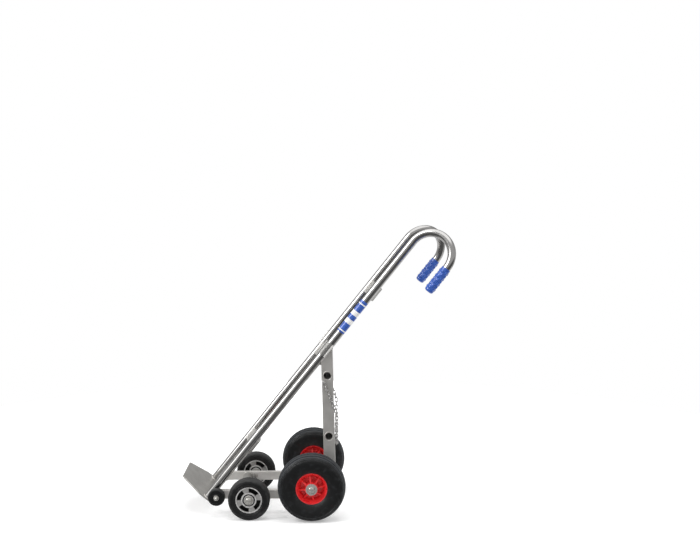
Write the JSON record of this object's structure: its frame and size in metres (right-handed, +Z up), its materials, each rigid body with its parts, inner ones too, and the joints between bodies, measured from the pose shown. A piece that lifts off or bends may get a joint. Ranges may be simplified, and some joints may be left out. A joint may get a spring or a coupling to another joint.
{
  "type": "gas cylinder trolley",
  "caption": "Two-handed gas cylinder trolley that leans back on four wheels, with cane handles, a strapped cradle, a toe plate, toe rollers and a safety chain.",
  "frame": {"origin": "on the floor, at the middle of the trolley's outline as it stands laid back on its four wheels", "axes": "+X towards the handles, +Y to the user's right, +Z up"},
  "size_m": [1.0535, 0.5248, 1.1126],
  "materials": {
    "tube_chrome": "polished",
    "grip_blue": "moulded, pimpled",
    "frame_steel": "satin",
    "cap_plastic": "moulded",
    "zinc_fixings": "zinc plated",
    "axle_steel": "ground",
    "cap_chrome": "polished",
    "tyre_rubber": "matt",
    "hub_red": "moulded gloss",
    "medium_tyre_rubber": "matt",
    "medium_hub_alloy": "cast satin",
    "roller_nylon": "moulded",
    "bush_bronze": "sintered",
    "chain_zinc": "bright zinc"
  },
  "bodies": {
    "frame": {"left_side_tube": "tube_chrome", "right_side_tube": "tube_chrome", "left_grip": "grip_blue", "right_grip": "grip_blue", "left_strut": "frame_steel", "right_strut": "frame_steel", "left_saddle": "frame_steel", "right_saddle": "frame_steel", "left_rail": "frame_steel", "right_rail": "frame_steel", "upper_cross_tube": "frame_steel", "lower_cross_tube": "frame_steel", "front_cross_tube": "frame_steel", "upper_cradle_strap": "frame_steel", "middle_cradle_strap": "frame_steel", "lower_cradle_strap": "frame_steel", "toe_plate": "frame_steel", "left_axle_lug": "frame_steel", "right_axle_lug": "frame_steel", "rail_end_caps": "cap_plastic", "lug_bolts": "zinc_fixings", "lug_nuts": "zinc_fixings", "big_axle_spacers": "zinc_fixings", "big_axle_washers": "zinc_fixings", "medium_axle_spacers": "zinc_fixings", "medium_axle_washers": "zinc_fixings", "roller_bolts": "zinc_fixings", "roller_spacers": "zinc_fixings", "roller_washers": "zinc_fixings", "big_axle": "axle_steel", "medium_axle": "axle_steel", "big_axle_caps": "cap_chrome", "medium_axle_caps": "cap_chrome", "roller_nuts": "cap_chrome", "left_chain_eye": "chain_zinc", "right_chain_eye": "chain_zinc", "left_chain_wrap": "chain_zinc", "right_chain_wrap": "chain_zinc", "chain_hook": "chain_zinc"},
    "left_big_wheel": {"left_big_tyre": "tyre_rubber", "left_big_hub": "hub_red", "left_big_bearings": "axle_steel"},
    "right_big_wheel": {"right_big_tyre": "tyre_rubber", "right_big_hub": "hub_red", "right_big_bearings": "axle_steel"},
    "left_medium_wheel": {"left_medium_tyre": "medium_tyre_rubber", "left_medium_hub": "medium_hub_alloy", "left_medium_bearings": "axle_steel"},
    "right_medium_wheel": {"right_medium_tyre": "medium_tyre_rubber", "right_medium_hub": "medium_hub_alloy", "right_medium_bearings": "axle_steel"},
    "left_roller": {"left_toe_roller": "roller_nylon", "left_roller_bush": "bush_bronze"},
    "right_roller": {"right_toe_roller": "roller_nylon", "right_roller_bush": "bush_bronze"},
    "chain": {"chain_swag": "chain_zinc"}
  },
  "joints": [
    {"name": "left_big_wheel_spin", "type": "hinge", "parent": "frame", "child": "left_big_wheel", "pos_m": [-0.01934, -0.211, 0.13], "axis": [0, 1, 0], "continuous": true},
    {"name": "right_big_wheel_spin", "type": "hinge", "parent": "frame", "child": "right_big_wheel", "pos_m": [-0.01934, 0.211, 0.13], "axis": [0, 1, 0], "continuous": true},
    {"name": "left_medium_wheel_spin", "type": "hinge", "parent": "frame", "child": "left_medium_wheel", "pos_m": [-0.25931, -0.196, 0.08], "axis": [0, 1, 0], "continuous": true},
    {"name": "right_medium_wheel_spin", "type": "hinge", "parent": "frame", "child": "right_medium_wheel", "pos_m": [-0.25931, 0.196, 0.08], "axis": [0, 1, 0], "continuous": true},
    {"name": "left_roller_spin", "type": "hinge", "parent": "frame", "child": "left_roller", "pos_m": [-0.38657, -0.172, 0.08], "axis": [0, 1, 0], "continuous": true},
    {"name": "right_roller_spin", "type": "hinge", "parent": "frame", "child": "right_roller", "pos_m": [-0.38657, 0.172, 0.08], "axis": [0, 1, 0], "continuous": true},
    {"name": "chain_swing", "type": "hinge", "parent": "frame", "child": "chain", "pos_m": [0.07702, -0.00093, 0.37122], "axis": [0, -0.9999, 0.0154], "range_deg": [0, 40]}
  ]
}
